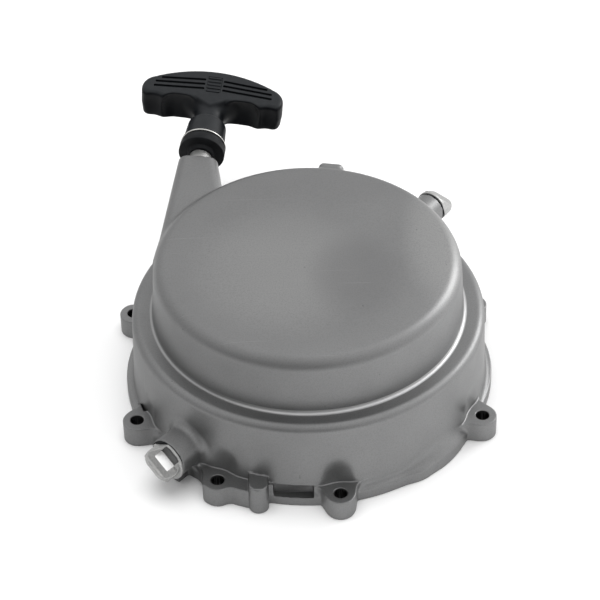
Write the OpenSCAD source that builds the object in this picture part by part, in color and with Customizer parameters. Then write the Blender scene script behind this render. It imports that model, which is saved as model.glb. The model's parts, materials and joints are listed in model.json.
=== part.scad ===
// Recoil starter: cast case with rope neck, T handle, reel, spring, pawls and drive plate.
// Millimetres. +Z is the reel axis, z = 0 is the mounting face, the handle pulls out towards +Y.

/* [Case] */
// Height of the case over its mounting face
case_h = 84.8; // [82:0.2:90]
// Radius of the upper drum just under its rounded rim
upper_r_top = 80.3; // [79.5:0.1:81]
// Radius of the upper drum where it meets the shoulder
upper_r_base = 82.4; // [81.5:0.1:83]
// Height of the shoulder between the two drums
shoulder_z = 51.3; // [50:0.1:53]
// Radius of the lower drum under its rounded shoulder
lower_r_top = 93.3; // [92.5:0.1:94]
// Radius of the lower drum above the flange
lower_r_base = 94.8; // [94.2:0.1:95.5]
// Radius of the flange between the lugs
flange_r = 97; // [96.5:0.1:98.5]
// Thickness of the flange between the lugs
flange_t = 6.4; // [5:0.1:8]
// Radius of the cavity in the lower drum
cavity_low_r = 90; // [88:0.5:91]
// Radius of the shallow register that centres the case on the engine
register_r = 91.5; // [91:0.1:92.5]
// Radius of the cavity in the upper drum
cavity_up_r = 76.6; // [75:0.1:77.4]
// Thickness of the roof
roof_t = 3.8; // [3:0.1:5]

/* [Mounting lugs] */
// Distance of the paired lug holes from the reel axis
bolt_circle_r = 101.1; // [100:0.1:103]
// Distance of the single lug under the neck from the reel axis
neck_lug_circle_r = 105; // [103:0.1:107]
// Diameter of the bolt holes, for M6 screws
bolt_hole_d = 7; // [6.4:0.1:8]
// Outer radius of a lug
lug_r = 7.6; // [7:0.1:9]
// Thickness of a lug
lug_t = 12; // [10:0.5:15]

/* [Plugs] */
// Radius of the flange of the front plug
plug_flange_front = 11.6; // [11:0.1:12.5]
// Radius of the flange of the rear plug
plug_flange_rear = 9.4; // [9:0.1:10.5]
// Width of a plug head
plug_head_w = 18.6; // [17:0.1:19]
// Depth of a plug head, along the plug
plug_head_d = 10.2; // [9.5:0.1:12]
// Thickness of a plug head
plug_head_t = 3.4; // [3:0.1:5]

/* [Rope] */
// Diameter of the rope
rope_d = 5; // [4.5:0.1:5.4]
// Radius at which the wound rope leaves the reel
rope_out_r = 58; // [57:0.1:59]
// Number of turns on the reel
rope_turns = 2.9; // [2:0.1:3]

/* [Handle] */
// Angle of the handle axis from +Y towards +X, seen from above
handle_yaw = 8; // [7:0.1:9]
// Rise of the handle axis
handle_pitch = 6; // [5:0.1:7]
// Turn of the handle about its own axis
handle_roll = 5; // [0:1:10]
// Half the width of the crossbar
bar_half = 40.4; // [38:0.1:43]
// Thickness of the crossbar
bar_t = 19.5; // [18:0.1:21]
// Distance of the crown of the crossbar from the silver ring
crown_n = 52.4; // [51:0.1:54]

/* [Drive] */
// Distance of the pawl pivots from the reel axis
pawl_pivot_r = 24; // [23.5:0.1:24.5]
// Swing of a pawl
pawl_swing = 30; // [26:1:30]
// Radius of the drive plate
plate_r = 35.5; // [35:0.1:37]

/* [Hidden] */
$fn = 96;

cast_c = "#9a9a98";
machined_c = "#c8c6c0";
black_c = "#1b1d20";
steel_c = "#a8a9ad";
rope_c = "#2b2b2e";

rim_round = 4.6;
crown_rise = 1;
register_h = 3;
inner_top = case_h - roof_t;
inner_step = shoulder_z - 4;

// angles of the lugs: three opposite pairs, then the two single ones
pair_angles = [-118.7, -81.9, -154.7];
single_front_angle = -26.7;
single_neck_angle = 156.5;
bolt_hole_r = bolt_hole_d / 2;

// handle frame: origin at the middle of the silver ring, local Y along the pull
ring_centre = [-56.5, 116, 70.6];
mouth_n = -17;
bush_out_n = -9.3;
bush_in_n = -26;
bush_r = 6.2;
knot_seat_n = 39.6;
bulb_n = 33.2;
bulb_r = 9.8;

// heights of the pieces on the post
post_r = 9;
post_low_r = 7;
post_step_z = 46;
post_end_z = 38.8;
bolt_r = 3;
bush_wall_r = 11;
hub_r = 17;
hub_low_z = 46.4;
hub_top_z = 69;
rope_z = 63;
groove_r = 45.4;
reel_flange_r = 64;
reel_low_z = 57.5;
reel_top_z = 68.5;
spring_low_z = 70;
spring_top_z = 80;
anchor_angle = 80;
anchor_r = 70.5;

pawl_low_z = 46.8;
pawl_top_z = 52;
pin_r = 3;
guide_pin_r = 1.8;
guide_arm = 12;
pawl_len = 20;
pawl_rest_angle = -100;
plate_low_z = 41.2;
plate_top_z = 44.4;

plug_r_front = 109;
plug_angle_front = -132.5;
plug_z_front = 20;
plug_roll_front = -28;
plug_r_rear = 113.8;
plug_angle_rear = 52;
plug_z_rear = 43.5;
plug_roll_rear = 8;
// the boss is narrower than the flange of its plug, the shank narrower still
boss_inset = 0.6;
shank_inset = 3.1;

function arc(cx, cy, r, a0, a1, n) =
    [for (i = [0:n]) let (a = a0 + (a1 - a0) * i / n) [cx + r * cos(a), cy + r * sin(a)]];
function reversed(list) = [for (i = [len(list) - 1:-1:0]) list[i]];
function unit(v) = v / norm(v);

// places its children in the handle frame
module in_handle() {
    translate(ring_centre) rotate([0, 0, -handle_yaw]) rotate([handle_pitch, 0, 0])
        rotate([0, handle_roll, 0]) children();
}

// turns a profile in (radius, distance along the pull) about the handle axis
module about_pull() {
    rotate([-90, 0, 0]) rotate_extrude() children();
}

module ring(r_out, r_in, z0, z1) {
    translate([0, 0, z0]) difference() {
        cylinder(r = r_out, h = z1 - z0);
        translate([0, 0, -1]) cylinder(r = r_in, h = z1 - z0 + 2);
    }
}

// round bar along a list of points, one ring of sides at each point
module swept_bar(path, r, sides) {
    last = len(path) - 1;
    points = [for (i = [0:last])
        let (t = unit(path[min(i + 1, last)] - path[max(i - 1, 0)]),
             side = unit(cross(t, abs(t[2]) > 0.9 ? [1, 0, 0] : [0, 0, 1])),
             up = cross(side, t))
        for (k = [0:sides - 1]) path[i] + r * (side * cos(360 * k / sides) + up * sin(360 * k / sides))];
    walls = [for (i = [0:last - 1]) for (k = [0:sides - 1])
        let (a = i * sides + k, b = i * sides + (k + 1) % sides)
        for (tri = [[a, b + sides, b], [a, a + sides, b + sides]]) tri];
    ends = [[for (k = [0:sides - 1]) k], [for (k = [sides - 1:-1:0]) last * sides + k]];
    polyhedron(points = points, faces = concat(walls, ends));
}

// ---- case ----

module outer_profile() {
    polygon(concat(
        [[0, 0], [flange_r, 0], [flange_r, flange_t - 0.6]],
        arc(lower_r_base + 5.5, flange_t + 6.5, 5.5, 224, 180, 5),
        arc(lower_r_top - rim_round, shoulder_z - rim_round, rim_round, 0, 90, 8),
        [[upper_r_base + 1.6, shoulder_z]],
        arc(upper_r_base + 1.5, shoulder_z + 1.5, 1.5, 260, 180, 4),
        arc(upper_r_top - rim_round, case_h - rim_round, rim_round, 0, 84, 8),
        [[55, case_h + crown_rise * 0.6], [28, case_h + crown_rise * 0.93], [0, case_h + crown_rise]]));
}

module cavity_profile() {
    polygon([[0, -1], [register_r, -1], [register_r, register_h], [cavity_low_r, register_h],
        [cavity_low_r, inner_step - 4], [cavity_low_r - 4, inner_step],
        [cavity_up_r, inner_step], [cavity_up_r - 0.6, inner_top - 3], [cavity_up_r - 3.6, inner_top],
        [0, inner_top]]);
}

// one lug with webs that run tangentially into the flange
module lug(angle, circle_r) {
    lean = acos((lug_r - 1) / 17);
    base = circle_r - 13;
    rotate([0, 0, angle]) {
        linear_extrude(lug_t) {
            translate([circle_r, 0]) circle(r = lug_r);
            polygon([[base, -13], [circle_r + lug_r * cos(lean) - 2, -lug_r * sin(lean)],
                [circle_r + lug_r * cos(lean) - 2, lug_r * sin(lean)], [base, 13]]);
        }
        linear_extrude(flange_t) polygon([[base, -24], [circle_r, -lug_r], [circle_r, lug_r], [base, 24]]);
    }
}

module all_lugs() {
    for (a = pair_angles) for (turn = [0, 180]) lug(a + turn, bolt_circle_r);
    lug(single_front_angle, bolt_circle_r);
    lug(single_neck_angle, neck_lug_circle_r);
}

module lug_holes() {
    for (a = pair_angles) for (turn = [0, 180]) lug_hole(a + turn, bolt_circle_r);
    lug_hole(single_front_angle, bolt_circle_r);
    lug_hole(single_neck_angle, neck_lug_circle_r);
}

// hole for a screw, with room over the lug for its head
module lug_hole(angle, circle_r) {
    rotate([0, 0, angle]) translate([circle_r, 0, 0]) {
        translate([0, 0, -1]) cylinder(r = bolt_hole_r, h = lug_t + 2);
        translate([0, 0, lug_t]) cylinder(r = 6.6, h = 16);
    }
}

// straight edge of the flange between the neck lug and the next lug to the front
module side_bridge() {
    linear_extrude(flange_t - 0.3) polygon([[-60, 30], [-84, 37], [-96.5, 37.5], [-98.9, 26],
        [-99, 12], [-98.5, 0], [-97.6, -12], [-96.8, -24], [-95.4, -39], [-84, -39.4], [-60, -30]]);
}

module solid_boss() {
    translate([-27.6, -96.8, 0]) cylinder(r = 5.2, h = 17);
    translate([-32.4, -96.8, 0]) cube([12.2, 12, 16.7]);
}

// recess in the foot of the wall between the solid boss and the next lug
module foot_recess() {
    translate([-19.4, -99.5, 5.1]) cube([20, 7.8, 6.9]);
}

// radial boss of a plug, from inside the wall to its sealing face
module plug_boss(angle, z, end_r, flange) {
    boss_r = flange - boss_inset;
    rotate([0, 0, angle]) translate([0, 0, z]) rotate([0, 90, 0]) {
        translate([0, 0, 70]) cylinder(r = boss_r, h = end_r - 70);
        translate([0, 0, 88]) cylinder(r1 = boss_r + 5, r2 = boss_r, h = 9);
    }
}

module plug_bore(angle, z, end_r, flange) {
    rotate([0, 0, angle]) translate([0, 0, z]) rotate([0, 90, 0]) translate([0, 0, end_r - 22])
        cylinder(r = flange - shank_inset, h = 24);
}

module neck_slab(y, x0, x1, z0, z1) {
    translate([x0, y, z0]) rotate([90, 0, 0]) translate([0, 0, -0.5]) linear_extrude(1)
        translate([5.5, 5.5]) {
            circle(r = 5.5, $fn = 32);
            translate([x1 - x0 - 11, 0]) circle(r = 5.5, $fn = 32);
            translate([0, z1 - z0 - 11]) circle(r = 5.5, $fn = 32);
            translate([x1 - x0 - 11, z1 - z0 - 11]) circle(r = 5.5, $fn = 32);
        }
}

module neck() {
    difference() {
        hull() {
            neck_slab(8, -81, -38, 50.5, 79.5);
            neck_slab(106, -69.2, -49, 59, 77);
        }
        in_handle() translate([-30, mouth_n, -30]) cube([60, 60, 60]);
    }
}

// small cast boss outside the spring anchor
module anchor_boss() {
    rotate([0, 0, anchor_angle]) translate([70, -7, shoulder_z - 2]) cube([16, 14, 32.6]);
}

module starter_case() {
    color(cast_c) {
        difference() {
            union() {
                rotate_extrude() outer_profile();
                all_lugs();
                side_bridge();
                solid_boss();
                plug_boss(plug_angle_front, plug_z_front, plug_r_front, plug_flange_front);
                plug_boss(plug_angle_rear, plug_z_rear, plug_r_rear, plug_flange_rear);
                neck();
                anchor_boss();
            }
            rotate_extrude() cavity_profile();
            lug_holes();
            foot_recess();
            plug_bore(plug_angle_front, plug_z_front, plug_r_front, plug_flange_front);
            plug_bore(plug_angle_rear, plug_z_rear, plug_r_rear, plug_flange_rear);
            in_handle() rotate([-90, 0, 0]) translate([0, 0, bush_in_n])
                cylinder(r = bush_r + 0.02, h = 40);
            neck_channel();
        }
        difference() {
            union() {
                translate([0, 0, post_step_z]) cylinder(r = post_r, h = inner_top - post_step_z + 1);
                translate([0, 0, post_end_z]) cylinder(r = post_low_r, h = 10);
                translate([0, 0, inner_top - 0.6]) cylinder(r = 14, h = 1.6);
            }
            translate([0, 0, post_end_z - 1]) cylinder(r = bolt_r + 0.05, h = 24);
        }
    }
}

// rope channel from the upper cavity to the bush
module neck_channel() {
    start = [-58.7, 40, 65.1];
    way = [-60.3, 95, 68.1] - start;
    translate(start) rotate([0, acos(way[2] / norm(way)), atan2(way[1], way[0])])
        cylinder(r = 5, h = norm(way));
}

module neck_bush() {
    color(machined_c) in_handle() about_pull() polygon(concat(
        [[bush_r, bush_in_n + 0.2], [bush_r, bush_out_n - 0.8], [bush_r - 0.8, bush_out_n],
         [3.6, bush_out_n], [3.3, bush_out_n - 1]],
        [[3.3, bush_in_n + 3.2], [4.4, bush_in_n + 0.2]]));
}

module spring_anchor_pin() {
    color(steel_c) rotate([0, 0, anchor_angle]) translate([anchor_r, 0, spring_low_z])
        cylinder(r = 2.5, h = inner_top - spring_low_z);
}

// flat spring strip: hook on the reel hub, spiral, hook round the anchor pin
module recoil_spring() {
    turns = 9;
    steps = turns * 18;
    first_r = 19;
    last_r = 65;
    half = 0.45;
    function spiral_r(i) = first_r + (last_r - first_r) * i / steps;
    function spiral_a(i) = anchor_angle - 360 * turns + 360 * turns * i / steps;
    function edge(s) = [for (i = [0:steps])
        let (r = spiral_r(i) + s * half, a = spiral_a(i)) [r * cos(a), r * sin(a)]];
    color("#5d6166") translate([0, 0, spring_low_z]) {
        linear_extrude(spring_top_z - spring_low_z) polygon(concat(edge(1), reversed(edge(-1))));
        rotate([0, 0, anchor_angle]) {
            translate([last_r - 0.4, -0.45, 0]) cube([2.7, 0.9, spring_top_z - spring_low_z]);
            translate([first_r - 2.2, -0.45, 0]) cube([2.4, 0.9, spring_top_z - spring_low_z]);
        }
    }
}

// ---- reel ----

module reel_profile() {
    polygon([[bush_wall_r + 0.01, hub_low_z], [hub_r, hub_low_z], [hub_r, 61], [41, 61], [41, reel_low_z],
        [reel_flange_r, reel_low_z], [reel_flange_r, reel_low_z + 1.6], [groove_r, reel_low_z + 1.9],
        [groove_r, reel_top_z - 1.9], [reel_flange_r, reel_top_z - 1.6], [reel_flange_r, reel_top_z],
        [41, reel_top_z], [41, 65], [hub_r, 65], [hub_r - 0.6, hub_top_z],
        [bush_wall_r + 0.01, hub_top_z]]);
}

module at_pawls() {
    for (turn = [0, 180]) rotate([0, 0, turn]) translate([pawl_pivot_r, 0, 0]) children();
}

module rope_reel() {
    color("#33363a") difference() {
        union() {
            rotate_extrude() reel_profile();
            at_pawls() translate([0, 0, pawl_top_z + 5.4]) cylinder(r = 6.6, h = 5);
            for (k = [0:7]) rotate([0, 0, 45 * k + 22.5]) translate([hub_r - 1, -1.5, reel_low_z])
                cube([25, 3, 4]);
        }
        at_pawls() translate([0, 0, 50]) cylinder(r = pin_r + 0.01, h = 13);
    }
}

module reel_bush() {
    color("#b08d57") ring(bush_wall_r, post_r + 0.05, hub_low_z, hub_top_z);
}

// turns of rope in the groove, wound outwards to the point where the rope leaves for the neck
module rope_coil() {
    steps = round(rope_turns * 24);
    color(rope_c) swept_bar([for (i = [0:steps])
        let (left = rope_turns * (1 - i / steps), a = 180 + 360 * left, r = rope_out_r - rope_d * 1.02 * left)
        [r * cos(a), r * sin(a), rope_z]], rope_d / 2, 8);
}

// knot that holds the inner end of the rope in the wall of the groove
module reel_knot() {
    a = 180 + 360 * rope_turns;
    color(rope_c) rotate([0, 0, a]) translate([37.2, -4.5, rope_z - 5.5]) sphere(r = 3.2);
}

// straight run inside the neck
module rope_neck_run() {
    color(rope_c) swept_bar([[-58, 0.5, 63], [-58.4, 22, 64.1], [-58.9, 45, 65.3], [-59.5, 68, 66.6],
        [-60, 84, 67.5], [-60.1, 88, 67.7]], rope_d / 2 - 0.1, 8);
}

module rope_pull() {
    color(rope_c) in_handle() rotate([-90, 0, 0]) translate([0, 0, -26.5])
        cylinder(r = rope_d / 2, h = 26.5 + knot_seat_n);
}

// ---- handle ----

module rope_knot() {
    color(rope_c) in_handle() translate([0, knot_seat_n + 4.8, 0]) sphere(r = 4.8);
}

module rope_retainer() {
    color(steel_c) in_handle() rotate([-90, 0, 0])
        ring(6.8, rope_d / 2 + 0.3, knot_seat_n - 1.8, knot_seat_n - 0.2);
}

// part of the crossbar round one point of its outline, with bevelled faces
module bar_disc(w, n, r) {
    translate([w, n, 0]) {
        translate([0, 0, -bar_t / 2]) cylinder(r = r - 2.6, h = bar_t, $fn = 32);
        translate([0, 0, -bar_t / 2 + 3]) cylinder(r = r, h = bar_t - 6, $fn = 32);
    }
}

module half_bar() {
    hull() {
        bar_disc(0, crown_n - 12, 12);
        bar_disc(17, crown_n - 13.4, 10.6);
        bar_disc(bar_half - bulb_r, bulb_n, bulb_r);
    }
}

module handle_grip() {
    color(black_c) in_handle() difference() {
        union() {
            half_bar();
            mirror([1, 0, 0]) half_bar();
            about_pull() polygon([[0, 0.6], [11.9, 0.6], [11.9, 1.6], [10.9, 26], [9.4, 36], [0, 36]]);
            hull() {
                translate([-9.4, 22, -8]) cube([18.8, 2, 16]);
                translate([-17, 31, -9]) cube([34, 2, 18]);
            }
        }
        rotate([-90, 0, 0]) cylinder(r = rope_d / 2 + 0.5, h = 45);
        rotate([-90, 0, 0]) translate([0, 0, knot_seat_n - 1.8]) cylinder(r = 7, h = 20);
    }
}

module handle_cap() {
    color(black_c) in_handle() rotate([-90, 0, 0]) translate([0, 0, crown_n - 2.6])
        cylinder(r = 6.9, h = 2.2);
}

module handle_ring() {
    color("#d8d8da") in_handle() rotate([-90, 0, 0]) ring(12.9, rope_d / 2 + 0.5, -0.55, 0.55);
}

module handle_seal() {
    color("#141517") in_handle() about_pull() polygon(concat(
        [[rope_d / 2 + 0.4, -0.6], [12.3, -0.6], [12.3, -2.6]],
        arc(11.6, -4.9, 1.6, 60, -40, 6),
        [[12.1, -7.2], [7.9, -7.2], [6.9, -9.2], [rope_d / 2 + 0.4, -9.2]]));
}

// ---- pawls and drive plate ----

module pawl_pins() {
    color(steel_c) at_pawls() {
        translate([0, 0, 46.2]) cylinder(r = pin_r, h = 15);
    }
}

module pawl_springs() {
    coils = 4;
    steps = coils * 12;
    color(steel_c) at_pawls() swept_bar([for (i = [0:steps])
        [4.3 * cos(i * 30), 4.3 * sin(i * 30), 52.8 + 4 * i / steps]], 0.4, 6);
}

module pawl() {
    translate([pawl_pivot_r, 0, 0]) rotate([0, 0, pawl_rest_angle]) {
        difference() {
            translate([0, 0, pawl_low_z]) linear_extrude(pawl_top_z - pawl_low_z) {
                circle(r = 5.8);
                polygon([[0, -5.8], [9, -5.2], [pawl_len, -3.4], [pawl_len + 1.2, 3.6], [10, 4.6],
                    [0, 5.8]]);
            }
            translate([0, 0, pawl_low_z - 1]) cylinder(r = pin_r + 0.05, h = 8);
        }
        translate([guide_arm, 0, pawl_low_z - 5.2]) cylinder(r = guide_pin_r, h = 5.4);
    }
}

module drive_pawl_a() {
    color("#8d8f93") pawl();
}

module drive_pawl_b() {
    color("#8d8f93") rotate([0, 0, 180]) pawl();
}

// where the guide pin stands over the plate when the pawl has swung through a share of its travel
function guide_point(share) =
    let (a = pawl_rest_angle + pawl_swing * share,
         x = pawl_pivot_r + guide_arm * cos(a), y = guide_arm * sin(a), turn = -30 * share)
    [x * cos(turn) - y * sin(turn), x * sin(turn) + y * cos(turn)];

// outline of a slot of half width r along a list of points
function slot_outline(path, r) =
    let (last = len(path) - 1, d0 = unit(path[1] - path[0]), d1 = unit(path[last] - path[last - 1]),
         a0 = atan2(d0[1], d0[0]), a1 = atan2(d1[1], d1[0]),
         side = [for (i = [1:last - 1]) let (d = unit(path[i + 1] - path[i - 1])) [-d[1], d[0]] * r])
    concat(arc(path[0][0], path[0][1], r, a0 + 90, a0 + 270, 10),
        [for (i = [1:last - 1]) path[i] - side[i - 1]],
        arc(path[last][0], path[last][1], r, a1 - 90, a1 + 90, 10),
        [for (i = [last - 1:-1:1]) path[i] + side[i - 1]]);

module drive_plate() {
    color("#b9bbbf") translate([0, 0, plate_low_z]) difference() {
        cylinder(r = plate_r, h = plate_top_z - plate_low_z);
        translate([0, 0, -1]) cylinder(r = post_low_r + 0.05, h = 6);
        for (turn = [0, 180]) rotate([0, 0, turn]) translate([0, 0, -1]) linear_extrude(6)
            polygon(slot_outline([for (i = [0:4]) guide_point(i / 4)], guide_pin_r + 0.4));
        for (k = [0, 1]) rotate([0, 0, 180 * k + 62]) translate([21, 0, -1]) cylinder(r = 6, h = 6);
    }
}

module thrust_washer() {
    color(steel_c) ring(13.5, post_low_r + 0.05, 44.7, 45.9);
}

module friction_spring() {
    steps = 30;
    color(steel_c) swept_bar([for (i = [0:steps])
        let (r = 9 + 1.8 * i / steps) [r * cos(i * 20), r * sin(i * 20), 39.4 + 1.1 * i / steps]], 0.4, 8);
}

module retaining_washer() {
    color(steel_c) ring(12.5, bolt_r + 0.2, 37.3, 38.7);
}

module centre_bolt() {
    color(steel_c) {
        translate([0, 0, 37.2]) cylinder(r = bolt_r, h = 22);
        translate([0, 0, 35.4]) cylinder(r = 7.4, h = 1.9);
        translate([0, 0, 31]) cylinder(r = 5.8, h = 4.6, $fn = 6);
    }
}

// ---- plugs ----

module plug(angle, z, end_r, roll, flange) {
    rotate([0, 0, angle]) translate([0, 0, z]) {
        rotate([0, 90, 0]) {
            translate([0, 0, end_r - 20]) cylinder(r = flange - shank_inset - 0.05, h = 20.6);
            translate([0, 0, end_r + 0.5]) cylinder(r1 = flange, r2 = flange - 0.5, h = 1.6);
        }
        translate([end_r + 2, 0, 0]) rotate([roll, 0, 0]) plug_head(flange);
    }
}

// wedge-shaped head: as thick as the flange at its foot, a thin rounded edge at its outer end,
// with a pocket in each sloping face and a thin web left between the two pockets
module plug_head(flange) {
    w = plug_head_w / 2;
    corner = 6;
    foot = flange - 0.6;
    edge = plug_head_t / 2;
    web = 1.8;
    slope_a = 7.6;
    difference() {
        intersection() {
            translate([0, 0, -foot]) linear_extrude(2 * foot) polygon(concat(
                [[-0.6, -w]],
                arc(plug_head_d - corner - 1, -w + corner, corner, -90, -14, 6),
                arc(plug_head_d - corner - 1, w - corner, corner, 14, 90, 6),
                [[-0.6, w]]));
            rotate([90, 0, 0]) translate([0, 0, -w - 1]) linear_extrude(2 * w + 2) polygon([[-0.6, -foot],
                [0, -foot], [slope_a, -edge], [14, -edge], [14, edge], [slope_a, edge], [0, foot], [-0.6, foot]]);
            rotate([0, 90, 0]) translate([0, 0, -1]) cylinder(r = foot, h = 16);
        }
        for (side = [0, 1]) mirror([0, 0, side]) translate([0.8, -5.2, web / 2]) cube([5.4, 10.4, foot]);
    }
}

module plug_seal(angle, z, end_r, flange) {
    color("#26282b") rotate([0, 0, angle]) translate([0, 0, z]) rotate([0, 90, 0])
        ring(flange - 1, flange - 3, end_r, end_r + 0.5);
}

module plug_front() {
    color(machined_c) plug(plug_angle_front, plug_z_front, plug_r_front, plug_roll_front, plug_flange_front);
}

module plug_front_seal() {
    plug_seal(plug_angle_front, plug_z_front, plug_r_front, plug_flange_front);
}

module plug_rear() {
    color(machined_c) plug(plug_angle_rear, plug_z_rear, plug_r_rear, plug_roll_rear, plug_flange_rear);
}

module plug_rear_seal() {
    plug_seal(plug_angle_rear, plug_z_rear, plug_r_rear, plug_flange_rear);
}

starter_case();
neck_bush();
spring_anchor_pin();
recoil_spring();
rope_reel();
reel_bush();
rope_coil();
reel_knot();
rope_neck_run();
rope_pull();
rope_knot();
rope_retainer();
handle_grip();
handle_cap();
handle_ring();
handle_seal();
pawl_pins();
pawl_springs();
drive_pawl_a();
drive_pawl_b();
drive_plate();
thrust_washer();
friction_spring();
retaining_washer();
centre_bolt();
plug_front();
plug_front_seal();
plug_rear();
plug_rear_seal();
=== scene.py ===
"""Looks of the recoil starter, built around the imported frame. Lengths inside the shape code are millimetres."""
import json
import math

import bpy
import numpy as np
from mathutils import Matrix, Vector


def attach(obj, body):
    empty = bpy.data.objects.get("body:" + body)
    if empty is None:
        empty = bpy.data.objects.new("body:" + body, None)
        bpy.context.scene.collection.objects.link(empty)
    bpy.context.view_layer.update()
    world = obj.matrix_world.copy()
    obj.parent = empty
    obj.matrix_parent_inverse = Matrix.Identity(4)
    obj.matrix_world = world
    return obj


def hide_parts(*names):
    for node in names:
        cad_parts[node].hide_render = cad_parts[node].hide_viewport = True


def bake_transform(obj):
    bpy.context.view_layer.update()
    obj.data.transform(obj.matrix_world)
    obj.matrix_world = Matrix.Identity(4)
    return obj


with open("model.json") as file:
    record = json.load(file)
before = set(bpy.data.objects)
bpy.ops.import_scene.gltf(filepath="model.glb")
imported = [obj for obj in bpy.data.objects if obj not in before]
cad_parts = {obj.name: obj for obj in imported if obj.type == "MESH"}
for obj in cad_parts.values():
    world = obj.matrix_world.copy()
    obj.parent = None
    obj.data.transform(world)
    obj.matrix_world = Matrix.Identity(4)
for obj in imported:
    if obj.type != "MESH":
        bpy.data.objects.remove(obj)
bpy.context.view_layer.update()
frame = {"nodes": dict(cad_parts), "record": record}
MM = 0.001

# ---------------------------------------------------------------- shape tools


def smin(a, b, k):
    h = np.clip(0.5 + 0.5 * (b - a) / k, 0, 1)
    return b + (a - b) * h - k * h * (1 - h)


def smax(a, b, k):
    return -smin(-a, -b, k)


def both(a, b, r):
    """Intersection with its edge rounded to radius r."""
    return np.minimum(-r, np.maximum(a, b)) + np.hypot(np.maximum(r + a, 0), np.maximum(r + b, 0))


def less(a, b, r):
    """a without b, the edge rounded to radius r."""
    return both(a, -b, r)


def slab(v, lo, hi):
    return np.maximum(lo - v, v - hi)


def box2(x, y, hx, hy, r):
    qx, qy = np.abs(x) - hx + r, np.abs(y) - hy + r
    return np.hypot(np.maximum(qx, 0), np.maximum(qy, 0)) + np.minimum(np.maximum(qx, qy), 0) - r


def stroke(x, y, a, b, ra, rb):
    """Distance to a stroke from a to b whose half width goes from ra to rb."""
    dx, dy = b[0] - a[0], b[1] - a[1]
    t = np.clip(((x - a[0]) * dx + (y - a[1]) * dy) / (dx * dx + dy * dy), 0, 1)
    return np.hypot(x - a[0] - t * dx, y - a[1] - t * dy) - (ra + (rb - ra) * t)


def turned(x, y, angle):
    """x, y in axes turned by an angle in degrees."""
    c, s = math.cos(math.radians(angle)), math.sin(math.radians(angle))
    return x * c + y * s, y * c - x * s


def sample(f, p):
    out = np.empty(len(p), np.float32)
    step = 400000
    for i in range(0, len(p), step):
        q = p[i:i + step]
        out[i:i + step] = f(q[:, 0], q[:, 1], q[:, 2])
    return out


TETRA = np.array([[1, -1, -1], [-1, -1, 1], [-1, 1, -1], [1, 1, 1]], np.float64)


def slope(f, p, e):
    vals = [sample(f, p + k * e) for k in TETRA]
    grad = sum(v[:, None] * k for v, k in zip(vals, TETRA)) / (4 * e)
    return sum(vals) / 4, grad


def settle(f, p, cell, rounds=4):
    """Moves points onto the surface, and gives the normals there."""
    for _ in range(rounds):
        d, g = slope(f, p, cell * 0.04)
        n2 = np.maximum((g * g).sum(1), 0.05)
        p = p - (np.clip(d, -cell, cell) / n2)[:, None] * g
    _, g = slope(f, p, cell * 0.12)
    return p, g / np.maximum(np.linalg.norm(g, axis=1), 1e-9)[:, None]


def surface(f, lo, hi, cell):
    """Vertices, quads and normals of the surface f = 0 inside a box: a net of one vertex per crossed cell."""
    lo = np.asarray(lo, float) - cell * 2
    n = np.ceil((np.asarray(hi, float) + cell * 2 - lo) / cell).astype(int)
    block = 8
    nb = -(-n // block)
    n = nb * block
    axes = [lo[i] + cell * (block * np.arange(nb[i]) + (block - 1) / 2) for i in range(3)]
    mid = np.stack(np.meshgrid(*axes, indexing="ij"), -1).reshape(-1, 3)
    d = sample(f, mid)
    reach = cell * block * 0.87 * 1.35 + cell
    near = np.abs(d) < reach
    vol = np.where(d < 0, -1e3, 1e3).astype(np.float32)
    vol = np.repeat(vol[:, None], block ** 3, 1)
    local = np.stack(np.meshgrid(*[np.arange(block)] * 3, indexing="ij"), -1).reshape(-1, 3)
    local = (local - (block - 1) / 2) * cell
    ids = np.flatnonzero(near)
    for i in range(0, len(ids), 2000):
        part = ids[i:i + 2000]
        pts = (mid[part][:, None, :] + local[None]).reshape(-1, 3)
        vol[part] = sample(f, pts).reshape(len(part), -1)
    vol = vol.reshape(*nb, block, block, block).transpose(0, 3, 1, 4, 2, 5).reshape(n)
    inside = vol < 0
    count = np.zeros(n - 1, np.int8)
    corners = [(i, j, k) for i in (0, 1) for j in (0, 1) for k in (0, 1)]
    for i, j, k in corners:
        count += inside[i:n[0] - 1 + i, j:n[1] - 1 + j, k:n[2] - 1 + k]
    mixed = (count > 0) & (count < 8)
    cells = np.argwhere(mixed)
    index = np.full(mixed.shape, -1, np.int32)
    index[mixed] = np.arange(len(cells))
    total = np.zeros((len(cells), 3))
    hits = np.zeros(len(cells))
    for axis in range(3):
        for c in corners:
            if c[axis]:
                continue
            e = list(c)
            e[axis] = 1
            a = vol[tuple((cells + c).T)]
            b = vol[tuple((cells + e).T)]
            cross = (a < 0) != (b < 0)
            t = np.where(cross, a / np.where(cross, a - b, 1), 0)
            p = np.array(c, float)[None].repeat(len(cells), 0)
            p[:, axis] += t
            total += p * cross[:, None]
            hits += cross
    points = lo + cell * (cells + total / hits[:, None])
    quads = []
    for axis in range(3):
        u, v = (axis + 1) % 3, (axis + 2) % 3
        a = inside[tuple(slice(0, -1) if k == axis else slice(None) for k in range(3))]
        b = inside[tuple(slice(1, None) if k == axis else slice(None) for k in range(3))]
        edges = np.argwhere(a != b)
        edges = edges[(edges[:, u] > 0) & (edges[:, v] > 0) & (edges[:, u] < n[u] - 1) & (edges[:, v] < n[v] - 1)]
        flip = a[tuple(edges.T)]
        ring = []
        for du, dv in ((0, 0), (-1, 0), (-1, -1), (0, -1)):
            q = edges.copy()
            q[:, u] += du
            q[:, v] += dv
            ring.append(index[tuple(q.T)])
        ring = np.stack(ring, 1)
        ring[~flip] = ring[~flip][:, ::-1]
        quads.append(ring)
    quads = np.concatenate(quads)
    quads = quads[(quads >= 0).all(1)]
    return points, quads


def link(obj):
    bpy.context.scene.collection.objects.link(obj)
    return obj


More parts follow.
